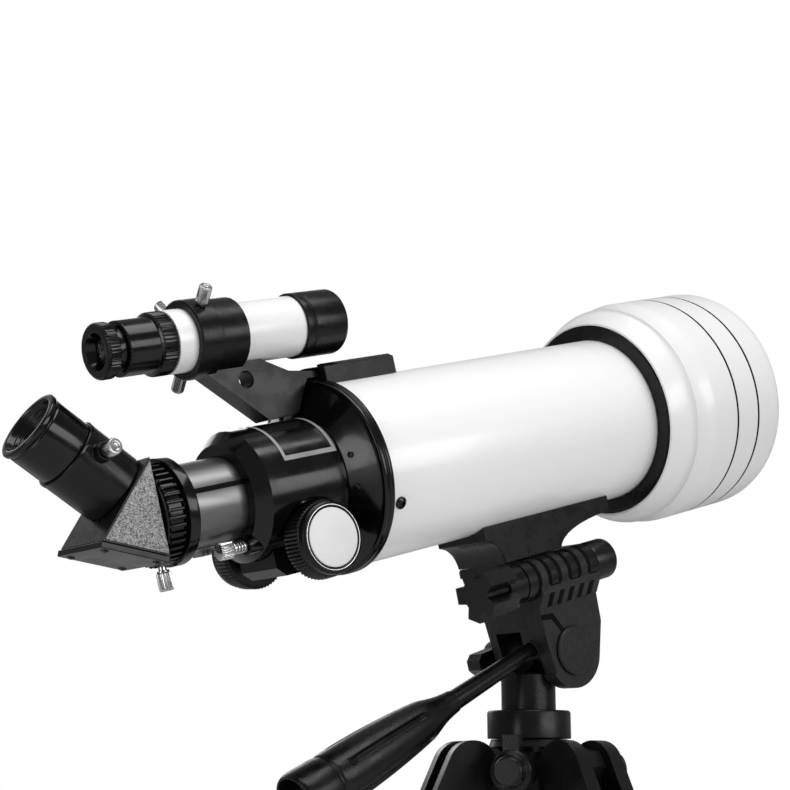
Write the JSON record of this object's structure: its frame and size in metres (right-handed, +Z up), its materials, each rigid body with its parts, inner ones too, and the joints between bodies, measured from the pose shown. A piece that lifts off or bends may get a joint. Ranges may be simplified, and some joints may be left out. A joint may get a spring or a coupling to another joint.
{
  "type": "telescope on tripod",
  "caption": "Small white refractor telescope with finder, prism diagonal and eyepiece, on a pan and tilt head and a folding black tripod.",
  "frame": {"origin": "centre of the bounding box on the floor under the three feet", "axes": "+Z up, +X towards the objective end, +Y to the left of someone looking along the tube; the tube rises 16 degrees towards +X"},
  "size_m": [0.3698, 0.2398, 0.4612],
  "materials": {
    "white_gloss": "gloss",
    "black_gloss": "gloss",
    "black_satin": "satin",
    "speckled_grey": "speckled, matte",
    "chrome": "polished",
    "grey_plastic": "satin",
    "black_aluminium": "anodised",
    "rubber": "matte",
    "glass": "polished"
  },
  "bodies": {
    "tripod": {"tripod_shoulder": "black_satin"},
    "column": {"center_column": "black_satin"},
    "crank": {"column_crank": "black_satin"},
    "column_knob": {"column_lock_knob": "black_satin"},
    "hub": {"brace_hub": "black_satin"},
    "leg_a": {"leg_upper_a": "black_aluminium"},
    "strut_a": {"brace_strut_a": "black_aluminium"},
    "section_a": {"leg_lower_a": "black_aluminium", "foot_a": "rubber"},
    "lever_a": {"leg_lock_lever_a": "black_satin"},
    "leg_b": {"leg_upper_b": "black_aluminium"},
    "strut_b": {"brace_strut_b": "black_aluminium"},
    "section_b": {"leg_lower_b": "black_aluminium", "foot_b": "rubber"},
    "lever_b": {"leg_lock_lever_b": "black_satin"},
    "leg_c": {"leg_upper_c": "black_aluminium"},
    "strut_c": {"brace_strut_c": "black_aluminium"},
    "section_c": {"leg_lower_c": "black_aluminium", "foot_c": "rubber"},
    "lever_c": {"leg_lock_lever_c": "black_satin"},
    "pan": {"pan_base": "black_satin"},
    "tilt": {"tilt_body": "grey_plastic", "tilt_axle": "grey_plastic", "flip_pin": "black_satin"},
    "tilt_knob": {"tilt_lock_knob": "black_satin"},
    "handle": {"handle_rod": "black_satin", "handle_grip": "black_satin"},
    "flip_knob": {"flip_lock_knob": "black_satin"},
    "telescope": {"platform": "black_satin", "main_tube": "white_gloss", "rear_cell": "black_gloss", "focuser_housing": "black_gloss", "pinion_holder": "black_satin", "lens_cell": "black_satin", "objective_lens": "glass", "dew_shield": "white_gloss", "saddle": "black_satin", "finder_shoe": "black_satin", "finder_bracket": "black_satin", "finder_tube": "white_gloss", "finder_objective_cell": "black_satin"},
    "camera_screw": {"camera_screw": "chrome"},
    "drawtube": {"drawtube": "chrome", "drawtube_ring": "black_satin"},
    "focus": {"focus_axle": "chrome", "focus_knob_left": "black_satin", "focus_knob_right": "black_satin"},
    "focus_lock": {"focus_lock_screw": "chrome"},
    "ring_screw": {"ring_screw": "chrome"},
    "diagonal": {"prism_housing": "speckled_grey", "prism_cover": "black_satin", "prism": "glass", "eyepiece_holder": "black_satin"},
    "holder_screw": {"holder_screw": "chrome"},
    "eyepiece": {"eyepiece": "black_gloss"},
    "finder_eyepiece": {"finder_eyepiece": "black_satin"},
    "finder_screw_a": {"finder_screw_a": "chrome"},
    "finder_screw_b": {"finder_screw_b": "chrome"},
    "finder_screw_c": {"finder_screw_c": "chrome"},
    "shoe_nut": {"finder_shoe_nut": "black_satin"}
  },
  "joints": [
    {"name": "column_slide", "type": "slide", "parent": "tripod", "child": "column", "axis": [0, 0, 1], "range_m": [0, 0.1]},
    {"name": "crank_turn", "type": "hinge", "parent": "tripod", "child": "crank", "pos_m": [0.05887, 0.02768, 0.23735], "axis": [0.8988, -0.4384, 0], "continuous": true},
    {"name": "column_knob_turn", "type": "hinge", "parent": "tripod", "child": "column_knob", "pos_m": [0.05887, 0.02768, 0.23735], "axis": [-0.829, -0.5592, 0], "range_deg": [0, 270]},
    {"name": "hub_slide", "type": "slide", "parent": "tripod", "child": "hub", "axis": [0, 0, 1], "range_m": [-0.0135, 0]},
    {"name": "leg_a_fold", "type": "hinge", "parent": "tripod", "child": "leg_a", "pos_m": [0.03371, 0.03995, 0.23935], "axis": [-0.4384, -0.8988, 0], "range_deg": [0, 17]},
    {"name": "strut_a_fold", "type": "hinge", "parent": "leg_a", "child": "strut_a", "pos_m": [0.00446, 0.05422, 0.16626], "axis": [-0.4384, -0.8988, 0], "range_deg": [-34.2, 0]},
    {"name": "leg_a_extend", "type": "slide", "parent": "leg_a", "child": "section_a", "axis": [-0.3656, 0.1783, -0.9135], "range_m": [0, 0.1]},
    {"name": "lever_a_flip", "type": "hinge", "parent": "leg_a", "child": "lever_a", "pos_m": [-0.0322, 0.0721, 0.10342], "axis": [0.4384, 0.8988, 0], "range_deg": [0, 100]},
    {"name": "leg_b_fold", "type": "hinge", "parent": "tripod", "child": "leg_b", "pos_m": [0.06082, -0.00025, 0.23935], "axis": [0.9976, 0.0698, 0], "range_deg": [0, 17]},
    {"name": "strut_b_fold", "type": "hinge", "parent": "leg_b", "child": "strut_b", "pos_m": [0.06309, -0.03271, 0.16626], "axis": [0.9976, 0.0698, 0], "range_deg": [-34.2, 0]},
    {"name": "leg_b_extend", "type": "slide", "parent": "leg_b", "child": "section_b", "axis": [0.0284, -0.4057, -0.9135], "range_m": [0, 0.1]},
    {"name": "lever_b_flip", "type": "hinge", "parent": "leg_b", "child": "lever_b", "pos_m": [0.06594, -0.0734, 0.10342], "axis": [-0.9976, -0.0698, 0], "range_deg": [0, 100]},
    {"name": "leg_c_fold", "type": "hinge", "parent": "tripod", "child": "leg_c", "pos_m": [0.08209, 0.04334, 0.23935], "axis": [-0.5592, 0.829, 0], "range_deg": [0, 17]},
    {"name": "strut_c_fold", "type": "hinge", "parent": "leg_c", "child": "strut_c", "pos_m": [0.10906, 0.06153, 0.16626], "axis": [-0.5592, 0.829, 0], "range_deg": [-34.2, 0]},
    {"name": "leg_c_extend", "type": "slide", "parent": "leg_c", "child": "section_c", "axis": [0.3372, 0.2274, -0.9135], "range_m": [0, 0.1]},
    {"name": "lever_c_flip", "type": "hinge", "parent": "leg_c", "child": "lever_c", "pos_m": [0.14288, 0.08434, 0.10342], "axis": [0.5592, -0.829, 0], "range_deg": [0, 100]},
    {"name": "pan_turn", "type": "hinge", "parent": "column", "child": "pan", "pos_m": [0.05887, 0.02768, 0.26435], "axis": [0, 0, 1], "continuous": true},
    {"name": "tilt_turn", "type": "hinge", "parent": "pan", "child": "tilt", "pos_m": [0.06751, 0.02768, 0.28667], "axis": [0, -1, 0], "range_deg": [-45, 12]},
    {"name": "tilt_knob_turn", "type": "hinge", "parent": "tilt", "child": "tilt_knob", "pos_m": [0.06751, 0.02768, 0.28667], "axis": [0, 1, 0], "range_deg": [0, 180]},
    {"name": "handle_turn", "type": "hinge", "parent": "tilt", "child": "handle", "pos_m": [0.06088, 0.01938, 0.29091], "axis": [-0.891, 0, -0.454], "range_deg": [0, 90]},
    {"name": "flip_turn", "type": "hinge", "parent": "tilt", "child": "telescope", "pos_m": [0.05723, 0.01268, 0.31815], "axis": [0.9613, 0, 0.2756], "range_deg": [0, 90]},
    {"name": "flip_knob_turn", "type": "hinge", "parent": "tilt", "child": "flip_knob", "pos_m": [0.05723, 0.01268, 0.31815], "axis": [0.9613, 0, 0.2756], "range_deg": [0, 180]},
    {"name": "camera_screw_turn", "type": "hinge", "parent": "telescope", "child": "camera_screw", "pos_m": [0.05028, 0.02768, 0.32063], "axis": [-0.2756, 0, 0.9613], "continuous": true},
    {"name": "focus_slide", "type": "slide", "parent": "telescope", "child": "drawtube", "axis": [-0.9613, 0, -0.2756], "range_m": [-0.009, 0.035]},
    {"name": "focus_turn", "type": "hinge", "parent": "telescope", "child": "focus", "pos_m": [-0.06744, 0.02768, 0.32121], "axis": [0, -1, 0], "range_deg": [-130, 503]},
    {"name": "focus_lock_turn", "type": "hinge", "parent": "telescope", "child": "focus_lock", "pos_m": [-0.08867, 0.01708, 0.31907], "axis": [0.9613, 0, 0.2756], "continuous": true},
    {"name": "ring_screw_turn", "type": "hinge", "parent": "drawtube", "child": "ring_screw", "pos_m": [-0.12057, 0.02768, 0.30805], "axis": [-0.2756, 0, 0.9613], "continuous": true},
    {"name": "diagonal_turn", "type": "hinge", "parent": "drawtube", "child": "diagonal", "pos_m": [-0.12445, 0.02768, 0.32775], "axis": [0.9613, 0, 0.2756], "continuous": true},
    {"name": "holder_screw_turn", "type": "hinge", "parent": "diagonal", "child": "holder_screw", "pos_m": [-0.15549, 0.02768, 0.34237], "axis": [0.0842, -0.9848, 0.1519], "continuous": true},
    {"name": "eyepiece_slide", "type": "slide", "parent": "diagonal", "child": "eyepiece", "axis": [-0.8746, 0, 0.4848], "range_m": [0, 0.02]},
    {"name": "finder_eyepiece_turn", "type": "hinge", "parent": "telescope", "child": "finder_eyepiece", "pos_m": [-0.13454, 0.02768, 0.38831], "axis": [0.9613, 0, 0.2756], "continuous": true},
    {"name": "finder_screw_a_turn", "type": "hinge", "parent": "telescope", "child": "finder_screw_a", "pos_m": [-0.11147, 0.02768, 0.39493], "axis": [-0.1949, -0.7071, 0.6797], "continuous": true},
    {"name": "finder_screw_b_turn", "type": "hinge", "parent": "telescope", "child": "finder_screw_b", "pos_m": [-0.11147, 0.02768, 0.39493], "axis": [-0.1949, 0.7071, 0.6797], "continuous": true},
    {"name": "finder_screw_c_turn", "type": "hinge", "parent": "telescope", "child": "finder_screw_c", "pos_m": [-0.11147, 0.02768, 0.39493], "axis": [0.1949, 0.7071, -0.6797], "continuous": true},
    {"name": "shoe_nut_turn", "type": "hinge", "parent": "telescope", "child": "shoe_nut", "pos_m": [-0.06992, 0.03798, 0.385], "axis": [-0.2756, 0, 0.9613], "continuous": true}
  ],
  "couplings": [
    {"joint": "crank_turn", "follows": "column_slide", "rad_per_m": 220},
    {"joint": "hub_slide", "follows": "leg_a_fold", "m_per_rad": -0.0426},
    {"joint": "strut_a_fold", "follows": "leg_a_fold", "ratio": -2},
    {"joint": "leg_b_fold", "follows": "leg_a_fold", "ratio": 1},
    {"joint": "strut_b_fold", "follows": "leg_a_fold", "ratio": -2},
    {"joint": "leg_c_fold", "follows": "leg_a_fold", "ratio": 1},
    {"joint": "strut_c_fold", "follows": "leg_a_fold", "ratio": -2},
    {"joint": "focus_turn", "follows": "focus_slide", "rad_per_m": 250}
  ]
}
